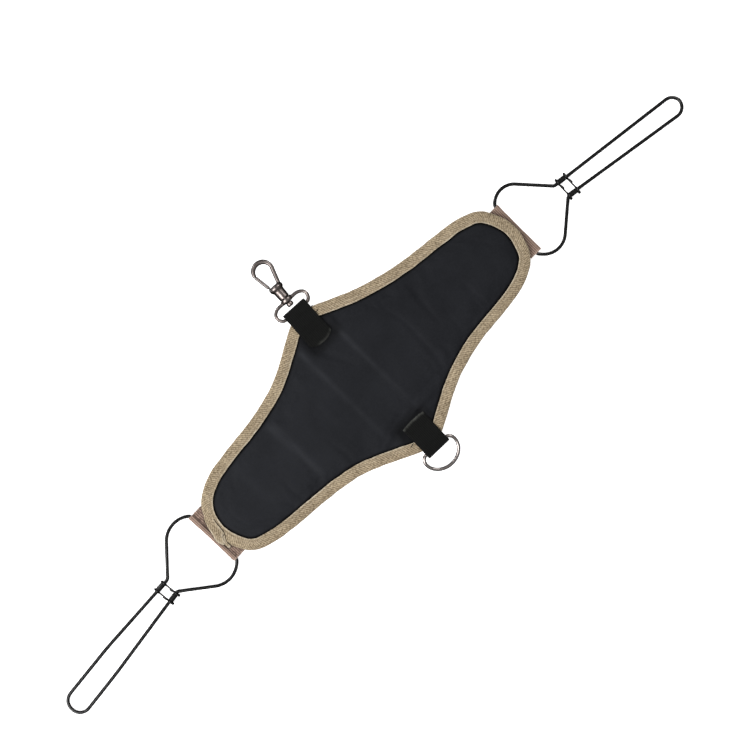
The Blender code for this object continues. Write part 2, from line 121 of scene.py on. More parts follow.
def node(tree, kind, inputs=(), **settings):
    """Adds a shader node; inputs maps a socket name or number to a value or another socket."""
    made = tree.nodes.new(kind)
    for key, value in settings.items():
        setattr(made, key, value)
    for key, value in dict(inputs).items():
        if isinstance(value, bpy.types.NodeSocket):
            tree.links.new(value, made.inputs[key])
        else:
            made.inputs[key].default_value = value
    return made


def start(name, roughness, metallic=0.0, specular=0.5, sheen=0.0):
    made = bpy.data.materials.new(name)
    made.use_nodes = True
    tree = made.node_tree
    shader = tree.nodes["Principled BSDF"]
    shader.inputs["Roughness"].default_value = roughness
    shader.inputs["Metallic"].default_value = metallic
    shader.inputs["Specular IOR Level"].default_value = specular
    shader.inputs["Sheen Weight"].default_value = sheen
    shader.inputs["Sheen Roughness"].default_value = 0.5
    return made, tree, shader


def rgba(colour):
    """A colour from three numbers, or a grey from one."""
    return (*colour, 1) if isinstance(colour, tuple) else (colour, colour, colour, 1)


def ramp(tree, factor, *stops):
    made = node(tree, "ShaderNodeValToRGB", {"Fac": factor})
    elements = made.color_ramp.elements
    for index, (place, colour) in enumerate(stops):
        if index >= len(elements):
            elements.new(place)
        elements[index].position = place
        elements[index].color = rgba(colour)
    return made.outputs["Color"]


def maths(tree, operation, *values):
    return node(tree, "ShaderNodeMath", dict(enumerate(values)), operation=operation).outputs[0]


def blended(tree, kind, factor, first, second):
    if not isinstance(second, bpy.types.NodeSocket):
        second = rgba(second)
    inputs = {"Factor": factor, 6: first, 7: second}
    return node(tree, "ShaderNodeMix", inputs, data_type="RGBA", blend_type=kind).outputs[2]


def shaded(tree, base, share, pattern, *stops):
    """The base colour, multiplied by a ramp over the pattern to this share."""
    return blended(tree, "MULTIPLY", share, base, ramp(tree, pattern, *stops))


def marked(tree, shader, base, highlight_and_wear, shade_colour):
    """Sets the base colour: pale for the painted highlights and wear that the mesh marks, dark for the
    painted shade that it marks.
    """
    for name, colour in (("wear_and_highlight", highlight_and_wear), ("painted_shade", shade_colour)):
        share = node(tree, "ShaderNodeAttribute", attribute_name=name).outputs["Fac"]
        base = blended(tree, "MIX", share, base, colour)
    tree.links.new(base, shader.inputs["Base Color"])


def noise_map(tree, place, scale, detail=3.0, roughness=0.55):
    return node(tree, "ShaderNodeTexNoise", {
        "Vector": place, "Scale": scale, "Detail": detail, "Roughness": roughness,
    }).outputs["Fac"]


def ribs(tree, place, direction, pitch_mm, distortion):
    """Even bands across one axis of the coordinates, this many mm apart, from 0 to 1."""
    return node(tree, "ShaderNodeTexWave", {
        "Vector": place, "Scale": 2 * math.pi / (20 * pitch_mm * MM), "Distortion": distortion,
        "Detail": 1.0, "Detail Scale": 2.0,
    }, wave_type="BANDS", bands_direction=direction).outputs["Fac"]


def bump(tree, shader, height, distance_mm, strength=1.0, under=None):
    inputs = {"Height": height, "Distance": distance_mm * MM, "Strength": strength}
    made = node(tree, "ShaderNodeBump", inputs)
    if under is not None:
        tree.links.new(under, made.inputs["Normal"])
    tree.links.new(made.outputs["Normal"], shader.inputs["Normal"])
    return made.outputs["Normal"]


def cloth_map(tree):
    return node(tree, "ShaderNodeUVMap", uv_map="cloth").outputs["UV"]


def object_map(tree):
    return node(tree, "ShaderNodeTexCoord").outputs["Object"]


def face_fabric():
    """Black plain-weave nylon, with a painted highlight along its raised creases, a little paler towards the
    left end, and painted shade by the binding and the tabs.
    """
    made, tree, shader = start("face_fabric", 0.66, specular=0.07)
    place = object_map(tree)
    weave = maths(tree, "MULTIPLY", ribs(tree, place, "X", 0.62, 0.6), ribs(tree, place, "Y", 0.55, 0.6))
    mottle = noise_map(tree, place, 26, 4, 0.6)
    speck = noise_map(tree, place, 620, 2, 0.7)
    base = ramp(tree, mottle, (0.3, (0.0098, 0.0105, 0.0128)), (0.72, (0.0158, 0.0167, 0.0200)))
    base = shaded(tree, base, 0.55, speck, (0.3, (0.55, 0.55, 0.56)), (0.75, 1.0))
    base = shaded(tree, base, 0.35, weave, (0.0, 0.5), (0.6, 1.0))
    # A pale tint for the painted highlight and a near-black tint for the painted shade.
    marked(tree, shader, base, (0.040, 0.042, 0.048), 0.0004)
    tree.links.new(maths(tree, "MULTIPLY_ADD", mottle, 0.18, 0.54), shader.inputs["Roughness"])
    coarse = bump(tree, shader, mottle, 0.5, 0.35)
    bump(tree, shader, weave, 0.09, 0.8, coarse)
    return made


def binding_tape():
    """Tan cotton tape with a slanting twill, flecked and darker in the hollows of the weave, with a painted
    highlight on its lip and ridges and painted shade under folds.
    """
    made, tree, shader = start("binding_tape", 0.88, specular=0.2, sheen=0.12)
    place = cloth_map(tree)
    turn = (0, 0, math.radians(38))
    slant = node(tree, "ShaderNodeMapping", {"Vector": place, "Rotation": turn}).outputs[0]
    twill = ribs(tree, slant, "X", 1.9, 1.2)
    cross = ribs(tree, place, "Y", 1.1, 1.5)
    weave = maths(tree, "MULTIPLY", twill, maths(tree, "MULTIPLY_ADD", cross, 0.5, 0.5))
    streak = node(tree, "ShaderNodeMapping", {"Vector": place, "Scale": (500, 560, 1)}).outputs[0]
    yarn = noise_map(tree, streak, 1.0, 3, 0.65)
    patch = noise_map(tree, place, 75, 4, 0.6)
    fade = noise_map(tree, place, 19, 2, 0.5)
    low, middle, high = (0.240, 0.191, 0.128), (0.298, 0.240, 0.163), (0.365, 0.298, 0.206)
    base = ramp(tree, patch, (0.25, low), (0.5, middle), (0.78, high))
    base = shaded(tree, base, 0.9, yarn, (0.36, (0.45, 0.42, 0.37)), (0.62, 1.32))
    base = shaded(tree, base, 0.78, weave, (0.0, (0.50, 0.47, 0.42)), (0.55, 1.2))
    base = shaded(tree, base, 0.5, fade, (0.35, (0.80, 0.79, 0.77)), (0.65, 1.1))
    # A pale tint for the painted highlight on the lip and ridges, a dark one for the painted shade under
    # folds.
    marked(tree, shader, base, (0.52, 0.455, 0.35), (0.022, 0.015, 0.009))
    coarse = bump(tree, shader, yarn, 0.12, 0.6)
    bump(tree, shader, weave, 0.18, 0.7, coarse)
    return made


def webbing(name, low, high, pitches, specular, deep, highlight_and_wear, folded):
    """Ribbed webbing: ribs and a finer cross thread at these pitches in mm; the last two are tints, a pale
    one for painted highlight and wear and a dark one for painted shade.
    """
    made, tree, shader = start(name, 0.8, specular=specular, sheen=0.05)
    place = cloth_map(tree)
    rib = ribs(tree, place, "X", pitches[0], 0.5)
    pick = ribs(tree, place, "Y", pitches[1], 0.9)
    weave = maths(tree, "MULTIPLY", rib, maths(tree, "MULTIPLY_ADD", pick, 0.4, 0.6))
    patch = noise_map(tree, place, 160, 4, 0.65)
    base = ramp(tree, weave, (0.08, low), (0.7, high))
    base = shaded(tree, base, 0.6, patch, (0.28, (0.7, 0.68, 0.66)), (0.74, 1.15))
    marked(tree, shader, base, highlight_and_wear, folded)
    coarse = bump(tree, shader, patch, 0.15, 0.6)
    bump(tree, shader, weave, deep, 0.9, coarse)
    return made


def coated_wire():
    """Black vinyl-dipped wire, slightly uneven, with faint scuffs."""
    made, tree, shader = start("coated_wire", 0.2, specular=0.36)
    place = object_map(tree)
    lumps = noise_map(tree, place, 210, 3, 0.6)
    scuff = noise_map(tree, place, 900, 4, 0.7)
    tree.links.new(ramp(tree, scuff, (0.45, 0.0008), (0.85, 0.004)), shader.inputs["Base Color"])
    tree.links.new(ramp(tree, scuff, (0.3, 0.13), (0.8, 0.27)), shader.inputs["Roughness"])
    bump(tree, shader, lumps, 0.25, 0.45)
    return made


def metal(name, dark, light, roughness, grain_mm=0.03):
    """Plated steel: cloudy tint, tiny pits and a slightly uneven polish."""
    made, tree, shader = start(name, roughness, metallic=1.0)
    place = object_map(tree)
    cloud = noise_map(tree, place, 330, 4, 0.6)
    pits = noise_map(tree, place, 2300, 2, 0.6)
    tree.links.new(ramp(tree, cloud, (0.3, dark), (0.7, light)), shader.inputs["Base Color"])
    low, high = (roughness * k for k in (0.75, 1.45))
    tree.links.new(ramp(tree, cloud, (0.25, high), (0.75, low)), shader.inputs["Roughness"])
    coarse = bump(tree, shader, cloud, 0.12, 0.35)
    bump(tree, shader, pits, grain_mm, 0.5, coarse)
    return made


def thread(name, low, high, specular=0.3):
    """Twisted sewing thread."""
    made, tree, shader = start(name, 0.7, specular=specular, sheen=0.02)
    place = object_map(tree)
    twist = noise_map(tree, place, 1800, 2, 0.5)
    tree.links.new(ramp(tree, twist, (0.35, low), (0.7, high)), shader.inputs["Base Color"])
    bump(tree, shader, twist, 0.08, 0.8)
    return made


def foam_core():
    """Fine open-cell foam."""
    made, tree, shader = start("foam", 0.95, specular=0.15)
    holes = node(tree, "ShaderNodeTexVoronoi", {"Vector": object_map(tree), "Scale": 1300})
    cells = holes.outputs["Distance"]
    base = ramp(tree, cells, (0.1, (0.05, 0.05, 0.055)), (0.6, (0.11, 0.11, 0.115)))
    tree.links.new(base, shader.inputs["Base Color"])
    bump(tree, shader, cells, 0.2, 0.8)
    return made


def lining():
    """Knitted spacer mesh for the back of the pad."""
    made, tree, shader = start("lining", 0.85, specular=0.2, sheen=0.1)
    place = object_map(tree)
    mesh = node(tree, "ShaderNodeTexVoronoi", {"Vector": place, "Scale": 430, "Randomness": 0.25})
    holes = mesh.outputs["Distance"]
    fuzz = noise_map(tree, place, 150, 4, 0.6)
    base = ramp(tree, holes, (0.12, (0.003, 0.003, 0.0035)), (0.42, (0.021, 0.022, 0.025)))
    base = shaded(tree, base, 0.5, fuzz, (0.3, 0.7), (0.75, 1.15))
    tree.links.new(base, shader.inputs["Base Color"])
    bump(tree, shader, holes, 0.5, 0.8)
    return made


FINISH = {
    "face_fabric": face_fabric(),
    "lining": lining(),
    "foam": foam_core(),
    "binding_tape": binding_tape(),
    # In the webbings the pale tint is for painted highlight and wear, the dark one for painted shade.
    "sleeve_webbing": webbing(
        "sleeve_webbing", (0.155, 0.106, 0.083), (0.40, 0.283, 0.228), pitches=(1.85, 0.9), specular=0.1,
        deep=0.45, highlight_and_wear=(0.56, 0.43, 0.36), folded=(0.040, 0.025, 0.018),
    ),
    "tab_webbing": webbing(
        "tab_webbing", 0.0030, (0.0068, 0.0072, 0.0067), pitches=(1.7, 1.1), specular=0.06, deep=0.2,
        highlight_and_wear=(0.20, 0.205, 0.185), folded=0.0006,
    ),
    "coated_wire": coated_wire(),
    "gunmetal": metal("gunmetal", (0.130, 0.111, 0.104), (0.230, 0.199, 0.188), 0.27),
    "bright_steel": metal("bright_steel", (0.078, 0.068, 0.065), (0.125, 0.112, 0.108), 0.13, 0.01),
}
POLISHED_GUNMETAL = metal("polished_gunmetal", (0.24, 0.213, 0.203), (0.37, 0.335, 0.320), 0.17, 0.015)
TAN_THREAD = thread("tan_thread", (0.20, 0.155, 0.10), (0.40, 0.32, 0.215))
BROWN_THREAD = thread("brown_thread", (0.075, 0.052, 0.042), (0.16, 0.115, 0.095))
BLACK_THREAD = thread("black_thread", 0.0010, (0.0060, 0.0063, 0.0058), specular=0.05)


# ---------------------------------------------------------------- mesh tools

def placed(name, data):
    made = bpy.data.objects.new(name, data)
    bpy.context.scene.collection.objects.link(made)
    return made


def outward(mesh):
    """Turns every face of a closed mesh outwards."""
    shape = bmesh.new()
    shape.from_mesh(mesh)
    bmesh.ops.recalc_face_normals(shape, faces=shape.faces)
    shape.to_mesh(mesh)
    shape.free()


def helper(name, points, faces):
    """A bare object in the scene, from points in mm."""
    mesh = bpy.data.meshes.new(name)
    mesh.from_pydata([Vector(p) * MM for p in points], [], faces)
    outward(mesh)
    return placed(name, mesh)


def dressed(name, mesh, slot, body, replaces, finish, angle):
    """The finished object: smooth-shaded up to this angle, with its material, riding on its body."""
    mesh.shade_smooth()
    mesh.set_sharp_from_angle(angle=math.radians(angle))
    mesh.materials.clear()
    mesh.materials.append(finish or FINISH[slot])
    made = placed(name, mesh)
    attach(made, body)
    if replaces:
        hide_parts(*replaces)
    return made


def piece(name, points, faces, slot, body, replaces=(), finish=None, cloth=None, angle=35, values=None):
    """A closed mesh in mm that rides on a body; cloth is each face corner's place on the cloth, in mm."""
    mesh = bpy.data.meshes.new(name)
    mesh.from_pydata([Vector(p) * MM for p in points], [], faces)
    if cloth is not None:
        layer = mesh.uv_layers.new(name="cloth")
        layer.data.foreach_set("uv", [c * MM for corners in cloth for corner in corners for c in corner])
    for key, numbers in (values or {}).items():
        mesh.attributes.new(key, "FLOAT", "POINT").data.foreach_set("value", numbers)
    outward(mesh)
    return dressed(name, mesh, slot, body, replaces, finish, angle)


def smooth_curve(points, steps, closed=True):
    """Catmull-Rom curve through the points."""
    count = len(points)
    spans = count if closed else count - 1
    curve = []
    for index in range(spans):
        places = (index - 1, index, index + 1, index + 2)
        four = [Vector(points[p % count] if closed else points[min(max(p, 0), count - 1)]) for p in places]
        before, first, last, after = four
        for step in range(steps):
            t = step / steps
            curve.append(0.5 * (
                2 * first + (last - before) * t + (2 * before - 5 * first + 4 * last - after) * t * t
                + (3 * first - before - 3 * last + after) * t ** 3
            ))
    return curve if closed else curve + [Vector(points[-1])]


def even(curve, count, closed=True):
    """The same curve in this many equal steps."""
    line = [*curve, curve[0]] if closed else curve
    lengths = [0.0]
    for a, b in zip(line, line[1:]):
        lengths.append(lengths[-1] + (b - a).length)
    spots = np.linspace(0, lengths[-1], count + 1 if closed else count)
    made = [np.interp(spots, lengths, [p[k] for p in line]) for k in range(len(line[0]))]
    result = [Vector(p) for p in zip(*made)]
    return result[:-1] if closed else result


def inset(outline, distances):
    """Moves each point of an anticlockwise outline inwards by its own distance."""
    count = len(outline)
    moved = []
    for index in range(count):
        along = (outline[(index + 1) % count] - outline[index - 1]).normalized()
        moved.append(outline[index] + distances[index] * Vector((-along.y, along.x)))
    return moved


def loft(rings, closed_path=False, spans_mm=None, ring_mm=None):
    """Points, faces and cloth corners of a skin through equal rings."""
    size = len(rings[0])
    points = [point for ring in rings for point in ring]
    faces, cloth = [], []
    rows = len(rings) if closed_path else len(rings) - 1
    along = spans_mm or list(range(len(rings) + 1))
    across = ring_mm or list(range(size + 1))
    for row in range(rows):
        low, high = row * size, (row + 1) % len(rings) * size
        for k in range(size):
            after = (k + 1) % size
            faces.append((low + k, low + after, high + after, high + k))
            cloth.append(((along[row], across[k]), (along[row], across[k + 1]),
                          (along[row + 1], across[k + 1]), (along[row + 1], across[k])))
    if not closed_path:
        for ring_start in (0, len(points) - size):
            faces.append(tuple(range(ring_start, ring_start + size)))
            cloth.append(tuple((along[0], across[k]) for k in range(size)))
    return points, faces, cloth


def spokes(start_deg, sweep_deg, steps):
    """Unit vectors through part of a turn, both ends included."""
    angles = [math.radians(start_deg + sweep_deg * k / steps) for k in range(steps + 1)]
    return [Vector((math.cos(a), math.sin(a))) for a in angles]


def bell(distance, width):
    """1 at no distance, fading to 0 past the width."""
    return math.exp(-((distance / width) ** 2))


def wobble(place, scale, size, seed=0.0):
    """A smooth, repeatable random offset for the spot."""
    spot = Vector((*place, 0.0)[:3]) * scale + Vector((seed, 2.3 * seed, 7.1 * seed))
    return noise.noise(spot) * size


def tube(route, radii, sides=20, closed=False):
    """A round bar along points in mm, with a radius for each."""
    count = len(route)
    around = spokes(0, 360, sides)[:-1]
    rings = []
    across = None
    for index, point in enumerate(route):
        last = (index - 1) % count if closed else max(index - 1, 0)
        after = (index + 1) % count if closed else min(index + 1, count - 1)
        along = (route[after] - route[last]).normalized()
        if across is None:
            across = along.cross(UP if abs(along.z) < 0.9 else Vector((1, 0, 0))).normalized()
        across = (across - along * across.dot(along)).normalized()
        other = along.cross(across)
        rings.append([point + radii[index] * (p.x * across + p.y * other) for p in around])
    return loft(rings, closed)[:2]


def lengths_round(section):
    """Distance in mm from the first point of a closed section to each point, and back to the first."""
    around = [0.0]
    for a, b in zip(section, [*section[1:], section[0]]):
        around.append(around[-1] + math.dist(a, b))
    return around


def joined(*parts):
    """Several (points, faces) in one."""
    points, faces = [], []
    for part_points, part_faces in parts:
        base = len(points)
        points += list(part_points)
        faces += [tuple(base + k for k in face) for face in part_faces]
    return points, faces


def moved(matrix, part):
    return [matrix @ Vector((*p, 0)[:3]) for p in part[0]], part[1]


def stitch_row(line, normal_up, pitch, length, width):
    """Separate stitches along a 3D line in mm: short fat threads that dip at both ends."""
    total = sum((b - a).length for a, b in zip(line, line[1:]))
    count = int(total / pitch)
    spots = even(line, count * 8 + 1, closed=False)
    parts = []
    for k in range(count):
        here = spots[k * 8: k * 8 + 9]
        share = length / pitch
        route, radii = [], []
        for j in range(7):
            t = j / 6
            spot = here[0].lerp(here[-1], (1 - share) / 2 + share * t)
            lift = math.sin(math.pi * t)
            route.append(spot + normal_up * (width * (0.55 * lift - 0.35)))
            radii.append(width / 2 * (0.55 + 0.45 * lift))
        parts.append(tube(route, radii, 8))
    return joined(*parts)


def fused(name, place, parts, voxel_mm, rounds, slot, body, replaces, cuts=()):
    """Overlapping closed parts in one skin, softened like a casting, then cut by closed shapes."""
    worker = helper(name + "_rough", *joined(*(moved(place, part) for part in parts)))
    remesh = worker.modifiers.new("fuse", "REMESH")
    remesh.mode = "VOXEL"
    remesh.voxel_size = voxel_mm * MM
    soften = worker.modifiers.new("soften", "SMOOTH")
    soften.iterations = rounds
    soften.factor = 0.5
    cutters = [helper(f"{name}_cut{index}", *moved(place, cut)) for index, cut in enumerate(cuts)]
    for cutter in cutters:
        cut = worker.modifiers.new(cutter.name, "BOOLEAN")
        cut.operation = "DIFFERENCE"
        cut.solver = "EXACT"
        cut.object = cutter
    mesh = bpy.data.meshes.new_from_object(worker.evaluated_get(bpy.context.evaluated_depsgraph_get()))
    mesh.name = name
    for used in [*cutters, worker]:
        bpy.data.objects.remove(used)
    return dressed(name, mesh, slot, body, replaces, None, 40)


# ---------------------------------------------------------------- the pad

OUTLINE = even(smooth_curve(PAD_OUTLINE, 12), 840)
PERIMETER = [0.0]
for here, there in zip(OUTLINE, OUTLINE[1:] + OUTLINE[:1]):
    PERIMETER.append(PERIMETER[-1] + (there - here).length)


def ring_at(depth_mm):
    return inset(OUTLINE, [depth_mm] * len(OUTLINE))


def nearest_mm(spots, line):
    """Distance from each spot to the closest of the line's points."""
    return np.sqrt(((spots[:, None, :] - line[None, :, :]) ** 2).sum(2)).min(1)


def sheet_grid(step):
    """Points over the pad, closer together by the binding, their triangles and their depth from the edge."""
    rim = np.array([tuple(p) for p in OUTLINE])
    grid = np.array([(x, y) for x in np.arange(-196, 197, step) for y in np.arange(-85, 86, step)])
    border = ring_at(1.2)[::2]
    bands = [p for depth in (10.4, 11.1, 11.8, 12.7, 14.0) for p in ring_at(depth)[::2]]
    middle = [Vector(spot) for spot, depth in zip(grid, nearest_mm(grid, rim[::3])) if depth > 15.6]
    every = border + bands + [p for p in middle if inside(p, OUTLINE)]
    edges = [(k, (k + 1) % len(border)) for k in range(len(border))]
    found = geometry.delaunay_2d_cdt(every, edges, [], 1, 1e-4)
    places, triangles = found[0], found[2]
    return places, triangles, nearest_mm(np.array([tuple(p) for p in places]), rim)


def inside(point, outline):
    """True if the point is within the closed outline."""
    crossings = 0
    for index in range(len(outline)):
        a, b = outline[index - 1], outline[index]
        if (a.y > point.y) != (b.y > point.y):
            crossings += point.x < a.x + (point.y - a.y) / (b.y - a.y) * (b.x - a.x)
    return crossings % 2 == 1


def inside_depth(spot):
    """Distance in mm from the pad's rim near its left end, negative outside it."""
    distance = min((p - spot).length for p in OUTLINE)
    return distance if inside(spot, OUTLINE) else -distance


def smoothstep(low, high, value):
    t = min(max((value - low) / (high - low), 0.0), 1.0)
    return t * t * (3 - 2 * t)


def puffed(places, triangles, held, cap_mm):
    """Rise of a fabric sheet blown up against the points that are held, from Blender's cloth."""
    mesh = bpy.data.meshes.new("cloth_work")
    mesh.from_pydata([(p.x * MM, p.y * MM, 0) for p in places], [], triangles)
    worker = placed("cloth_work", mesh)
    scene = bpy.context.scene
    worker.vertex_groups.new(name="held").add([k for k, yes in enumerate(held) if yes], 1.0, "REPLACE")
    cloth = worker.modifiers.new("cloth", "CLOTH")
    settings = cloth.settings
    settings.quality = 6
    settings.mass = 0.3
    settings.tension_stiffness = settings.compression_stiffness = 12
    settings.shear_stiffness = 6
    settings.bending_stiffness = 0.6
    settings.shrink_min = -0.012
    settings.vertex_group_mass = "held"
    settings.use_pressure = True
    settings.uniform_pressure_force = 1.2
    settings.effector_weights.gravity = 0
    cloth.collision_settings.use_collision = False
    for number in range(1, 21):
        scene.frame_set(number)
    final = worker.evaluated_get(bpy.context.evaluated_depsgraph_get()).to_mesh()
    rise = [min(max(v.co.z / MM, -cap_mm), cap_mm) for v in final.vertices]
    scene.frame_set(1)
    bpy.data.objects.remove(worker)
    return rise


CREASES = (
    # x at the middle (mm), lean (mm per mm), height (mm), half width (mm), painted highlight along it
    (16.5, 0.00, 0.42, 2.6, 0.34), (-23.5, 0.00, 0.34, 3.0, 0.28), (-46.0, 0.03, 0.10, 3.0, 0.06),
    (-90.0, -0.05, 0.30, 4.6, 0.30), (62.0, 0.04, -0.12, 4.0, 0.0), (106.0, 0.06, -0.34, 5.0, 0.0),
    (-140.0, -0.03, 0.10, 5.0, 0.08), (150.0, 0.02, 0.10, 5.0, 0.05),
)
TAB_ENDS = ((1.0, 52.0), (1.7, -56.8))  # x of each tab's middle and y of its inner end, mm


def under_tab(p, margin=3.5):
    """0 away from both tabs, 1 beneath them, and in between over this margin in mm."""
    share = 0.0
    for middle, end in TAB_ENDS:
        aside = 1 - smoothstep(13.5, 13.5 + margin, abs(p.x - middle))
        past_end = smoothstep(-0.5 - margin, -0.5, math.copysign(1, end) * (p.y - end))
        share = max(share, aside * past_end)
    return share


def face_height(p, depth, rise):
    """Height of the face fabric in mm over one spot."""
    crown = 0.95 * smoothstep(11.2, 24.0, depth)
    fold = sum(h * bell(p.x - x - lean * p.y, w) for x, lean, h, w, _ in CREASES)
    soft = wobble(p, 1 / 34, 0.30, 3.0) + wobble(p, 1 / 11, 0.09, 5.0)
    ripple = 0.14 * bell(depth - 14.0, 3.0) * wobble(p, 1 / 6, 1.8, 9.0)
    free = smoothstep(10.9, 15.5, depth) * (1 - under_tab(p))
    dip = -0.55 * bell(depth - 11.1, 0.9)
    return 4.0 + free * (crown + fold + soft + ripple + rise) + dip


def back_height(p, depth):
    """Depth of the back fabric below the pad in mm."""
    crown = 0.75 * smoothstep(11.2, 22.0, depth)
    free = smoothstep(10.9, 15.5, depth)
    near_tab = max(smoothstep(70.0, 66.0, abs(p.y)), smoothstep(18.0, 24.0, abs(p.x)))
    return -free * near_tab * (crown + wobble(p, 1 / 30, 0.2, 12.0) + wobble(p, 1 / 9, 0.06, 15.0))


def shell(places, triangles, tops, bottoms):
    """A closed layer between two height fields over the same triangles."""
    count = len(places)
    points = [(p.x, p.y, z) for heights in (tops, bottoms) for p, z in zip(places, heights)]
    faces = [tuple(f) for f in triangles] + [tuple(k + count for k in reversed(f)) for f in triangles]
    seen = {(a, b): True for face in triangles for a, b in zip(face, [*face[1:], face[0]])}
    faces += [(b, a, a + count, b + count) for a, b in seen if (b, a) not in seen]
    return points, faces


def highlight_and_wear(p, depth):
    """How pale the face fabric is painted at one spot: a painted highlight along the raised creases, most
    near the hook's tab, and a little paler towards the left end.
    """
    lines = sum(highlight_share * bell(p.x - x - lean * p.y, 0.9 * w) for x, lean, _, w, highlight_share in CREASES)
    where = (0.35 + 0.65 * smoothstep(-45, 45, p.y)) * smoothstep(11.5, 18.0, depth) * (1 - under_tab(p))
    patchy = 0.75 + wobble(p, 1 / 12, 0.6, 2.0)
    return min(1.0, lines) * where * patchy + 0.08 * (1 - smoothstep(-150, 90, p.x))


def pad():
    fabric = 0.4
    places, triangles, depths = sheet_grid(2.0)
    held = [d < 11.6 or under_tab(p) > 0.25 for p, d in zip(places, depths)]
    rises = puffed(places, triangles, held, 1.1)
    top = [face_height(p, d, r) for p, d, r in zip(places, depths, rises)]
    low = [back_height(p, d) for p, d in zip(places, depths)]
    # Painted highlight along the raised creases; painted shade along the binding's inner edge and round both
    # tabs.
    wear_and_highlight = [highlight_and_wear(p, d) for p, d in zip(places, depths)]
    painted_shade = [max(1 - smoothstep(11.8, 13.3, d), 0.6 * under_tab(p, 11.0)) for p, d in zip(places, depths)]
    values = {"wear_and_highlight": wear_and_highlight * 2, "painted_shade": painted_shade * 2}
    front = shell(places, triangles, top, [z - fabric for z in top])
    rear = shell(places, triangles, [z + fabric for z in low], low)
    foam = shell(places, triangles, [z - fabric - 0.1 for z in top], [z + fabric + 0.1 for z in low])
    face = piece("face_panel", *front, "face_fabric", "pad", ["pad_face"], values=values, angle=60)
    back = piece("back_panel", *rear, "lining", "pad", ["pad_back"], angle=60)
    core = piece("foam_core", *foam, "foam", "pad", ["pad_foam"], angle=60)


# Tape over the edge: (depth from the edge, z) in mm, round the outside from the face to the back.
TAPE_OUTSIDE = (
    (10.85, 4.62), (10.75, 4.95), (10.3, 5.12), (9.6, 5.08), (9.0, 4.86), (8.5, 4.78), (8.0, 4.90),
    (7.2, 5.06), (5.5, 5.12), (3.6, 5.08), (2.0, 4.95), (1.0, 4.62), (0.35, 4.05), (0.02, 3.2), (0.0, 2.0),
    (0.02, 0.8), (0.35, -0.05), (1.0, -0.62), (2.0, -0.95), (4.5, -1.0), (7.2, -0.98), (8.0, -0.86),
    (8.5, -0.78),
    (9.0, -0.86), (9.8, -1.0), (10.5, -0.98), (10.8, -0.7),
)
TAPE_INSIDE = (
    (10.6, -0.36), (9.0, -0.30), (5.5, -0.30), (2.0, -0.30), (1.2, -0.05), (0.75, 0.6), (0.7, 2.0),
    (0.75, 3.4), (1.2, 4.05), (2.0, 4.30), (5.5, 4.32), (9.0, 4.32), (10.5, 4.34),
)
TAPE_RIDGES = (3, 7)  # the points of the outside on either side of the seam's groove
SEAM_DEPTH = 8.5


def binding():
    section = TAPE_OUTSIDE + TAPE_INSIDE
    rings, wear_and_highlight = [], []
    for index, spot in enumerate(OUTLINE):
        outer = wobble(spot, 1 / 9, 0.34, 1.0) + wobble(spot, 1 / 3, 0.10, 4.0)
        lip = wobble(spot, 1 / 12, 0.45, 7.0) + wobble(spot, 1 / 3.2, 0.16, 8.0)
        swell = wobble(spot, 1 / 6, 0.16, 6.0)
        lit = 0.55 + wobble(spot, 1 / 45, 0.8, 21.0)
        fleck = 0.7 + wobble(spot, 1 / 4, 0.8, 11.0)
        along = (OUTLINE[(index + 1) % len(OUTLINE)] - OUTLINE[index - 1]).normalized()
        inward = Vector((-along.y, along.x))
        ring = []
        for number, (depth, z) in enumerate(section):
            outside = number < len(TAPE_OUTSIDE)
            share = depth / BINDING_WIDTH
            place = spot + inward * (depth + lip * share - outer * (1 - share))
            lift = swell * math.sin(math.pi * min(share, 1.0)) * (1 if z > 2 else -1)
            ring.append((place.x, place.y, z + (lift if outside else 0)))
            # Painted highlight along the lip of the tape and on the ridges beside the seam.
            edge = 0.75 * lit if outside and depth > 10.2 else 0.0
            wear_and_highlight.append(max(edge, 0.15 if number in TAPE_RIDGES else 0.0) * fleck)
        rings.append(ring)
    points, faces, cloth = loft(rings, True, PERIMETER, lengths_round(section))
    piece("edge_tape", points, faces, "binding_tape", "pad", ["edge_binding"], cloth=cloth,
          values={"wear_and_highlight": wear_and_highlight}, angle=50)
    rows = []
    for z, up in ((4.88, UP), (-0.86, -UP)):
        seam = [Vector((p.x, p.y, z)) for p in ring_at(SEAM_DEPTH)]
        rows.append(stitch_row([*seam, seam[0]], up, 3.1, 2.4, 0.5))
    piece("tape_stitching", *joined(*rows), "binding_tape", "pad", finish=TAN_THREAD)


# The tape's ends at the pad's left end: outlines in mm of the flap on top and the fold beneath it.
LAP_FLAP = (
    (-189.4, 15.0), (-194.6, 18.0), (-197.6, 12.0), (-199.2, 6.0), (-200.4, 1.0), (-201.8, -3.0),
    (-202.0, -6.0), (-200.6, -10.2), (-199.0, -12.0), (-196.4, -8.4), (-194.6, -5.4), (-192.2, -4.6),
    (-191.2, -1.0), (-190.6, 5.0), (-189.8, 10.0),
)
LAP_FOLD = (
    (-192.8, -6.2), (-195.0, -6.6), (-197.2, -9.8), (-198.6, -12.6), (-198.5, -16.4), (-197.2, -17.6),
    (-196.2, -16.0), (-196.3, -12.8), (-195.0, -9.4),
)
# Rings of such a layer, from its foot over its cut edge to its middle: share of the way to the middle, mm
# outwards, height in mm, painted highlight, painted shade.
LAP_RINGS = (
    (0.0, 0.75, -0.75, 0.0, 1.0), (0.0, 0.45, -0.4, 0.0, 0.9), (0.0, 0.12, -0.1, 0.15, 0.25),
    (0.0, -0.15, 0.10, 0.75, 0.0), (0.0, -0.75, 0.06, 0.4, 0.0), (0.25, -0.6, 0.0, 0.05, 0.0),
    (0.5, -0.4, -0.04, 0.0, 0.0), (0.75, -0.2, -0.05, 0.0, 0.0), (0.93, 0.0, -0.05, 0.0, 0.0),
)


